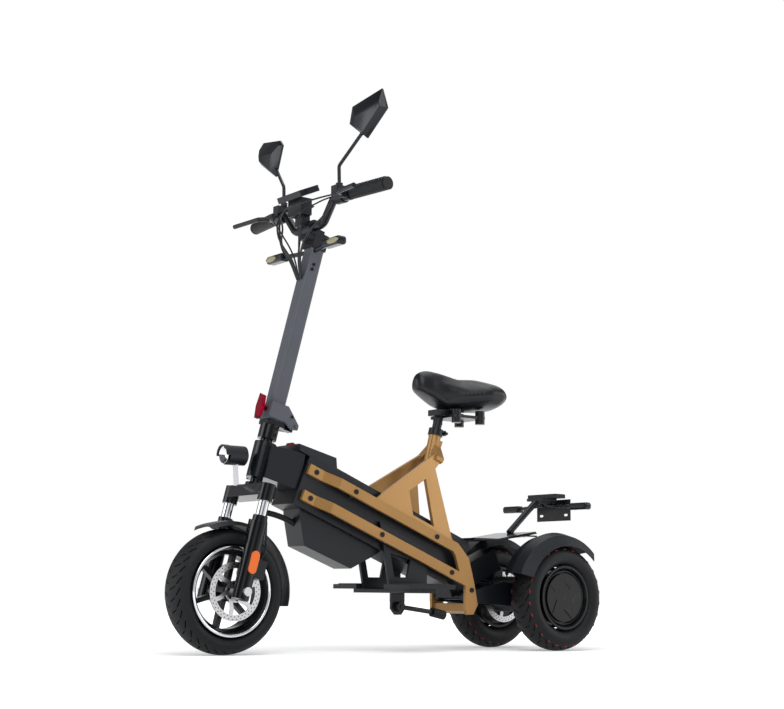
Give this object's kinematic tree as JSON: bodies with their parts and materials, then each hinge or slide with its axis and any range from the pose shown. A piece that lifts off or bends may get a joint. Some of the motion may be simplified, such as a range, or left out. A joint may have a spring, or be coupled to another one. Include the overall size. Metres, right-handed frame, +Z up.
{
  "type": "three-wheel electric scooter",
  "caption": "Folding three-wheel electric scooter: sprung fork, sloping deck box between bronze rails, saddle on a braced frame, foot boards and two rear wheels.",
  "frame": {"origin": "on the floor, under the middle of the bounding box", "axes": "+X forward, +Y the rider's left, +Z up"},
  "size_m": [1.2554, 0.6125, 1.3934],
  "materials": {
    "amber": "amber reflector",
    "black_metal": "satin black powder coat",
    "bronze": "satin bronze",
    "chrome": "polished",
    "gloss_black": "glossy black",
    "grey_metal": "satin dark grey",
    "grip": "soft matt black grip",
    "matt_black": "fine matt black",
    "mirror": "silvered glass",
    "red_anodised": "red anodised",
    "rim_black": "gloss black with bright rolled lips",
    "rubber": "matt black rubber",
    "saddle_cover": "smooth black synthetic leather",
    "steel": "brushed disc steel",
    "tyre": "matt black moulded rubber"
  },
  "bodies": {
    "frame": {"belly_case": "black_metal", "board_hangers": "black_metal", "deck_box": "black_metal", "deck_lid": "matt_black", "footboards": "black_metal", "neck": "gloss_black", "post_clamp": "black_metal", "rear_axle": "black_metal", "rear_calipers": "black_metal", "rear_mudguards": "matt_black", "rear_plate": "gloss_black", "rear_shock": "black_metal", "rear_signals": "gloss_black", "saddle_frame": "bronze", "side_rails": "bronze", "swing_arms": "black_metal", "tail_bracket": "black_metal", "tail_lamp": "gloss_black"},
    "fork": {"fork_crown": "black_metal", "stanchions": "chrome", "fork_legs": "black_metal", "front_axle": "steel", "front_caliper": "black_metal", "front_mudguard": "matt_black", "headlight": "matt_black", "headlight_bracket": "chrome", "fork_reflectors": "amber", "stem_collar": "black_metal"},
    "stem": {"stem_hinge": "grey_metal", "stem_tube": "grey_metal", "clamp_knob": "red_anodised", "bar_clamp": "black_metal", "handlebar": "black_metal", "grips": "grip", "brake_levers": "black_metal", "switch_pods": "matt_black", "display": "gloss_black", "mirror_arms": "black_metal", "mirror_shells": "gloss_black", "mirror_glasses": "mirror", "front_signals": "gloss_black"},
    "saddle_unit": {"saddle": "saddle_cover", "saddle_springs": "black_metal", "saddle_post": "black_metal"},
    "stand": {"kickstand": "black_metal", "kickstand_foot": "rubber"},
    "front_wheel": {"front_tyre": "tyre", "front_rim": "rim_black", "front_disc": "steel"},
    "rear_wheel_left": {"rear_tyre_left": "tyre", "rear_rim_left": "rim_black", "rear_disc_left": "steel"},
    "rear_wheel_right": {"rear_tyre_right": "tyre", "rear_rim_right": "rim_black", "rear_disc_right": "steel"}
  },
  "joints": [
    {"name": "steering", "type": "hinge", "parent": "frame", "child": "fork", "pos_m": [0.38145, 0, 0.46905], "axis": [-0.2554, 0, 0.9668], "range_deg": [-40, 40]},
    {"name": "front_wheel_spin", "type": "hinge", "parent": "fork", "child": "front_wheel", "pos_m": [0.47775, 0, 0.15], "axis": [0, 1, 0], "continuous": true},
    {"name": "stem_fold", "type": "hinge", "parent": "fork", "child": "stem", "pos_m": [0.30217, 0, 0.55774], "axis": [0, -1, 0], "range_deg": [0, 45]},
    {"name": "saddle_height", "type": "slide", "parent": "frame", "child": "saddle_unit", "axis": [-0.247, 0, 0.969], "range_m": [0, 0.04]},
    {"name": "stand_swing", "type": "hinge", "parent": "frame", "child": "stand", "pos_m": [0.00375, 0.079, 0.116], "axis": [0, -1, 0], "range_deg": [0, 36]},
    {"name": "rear_left_spin", "type": "hinge", "parent": "frame", "child": "rear_wheel_left", "pos_m": [-0.48625, 0.135, 0.1415], "axis": [0, 1, 0], "continuous": true},
    {"name": "rear_right_spin", "type": "hinge", "parent": "frame", "child": "rear_wheel_right", "pos_m": [-0.48625, -0.135, 0.1415], "axis": [0, 1, 0], "continuous": true}
  ]
}
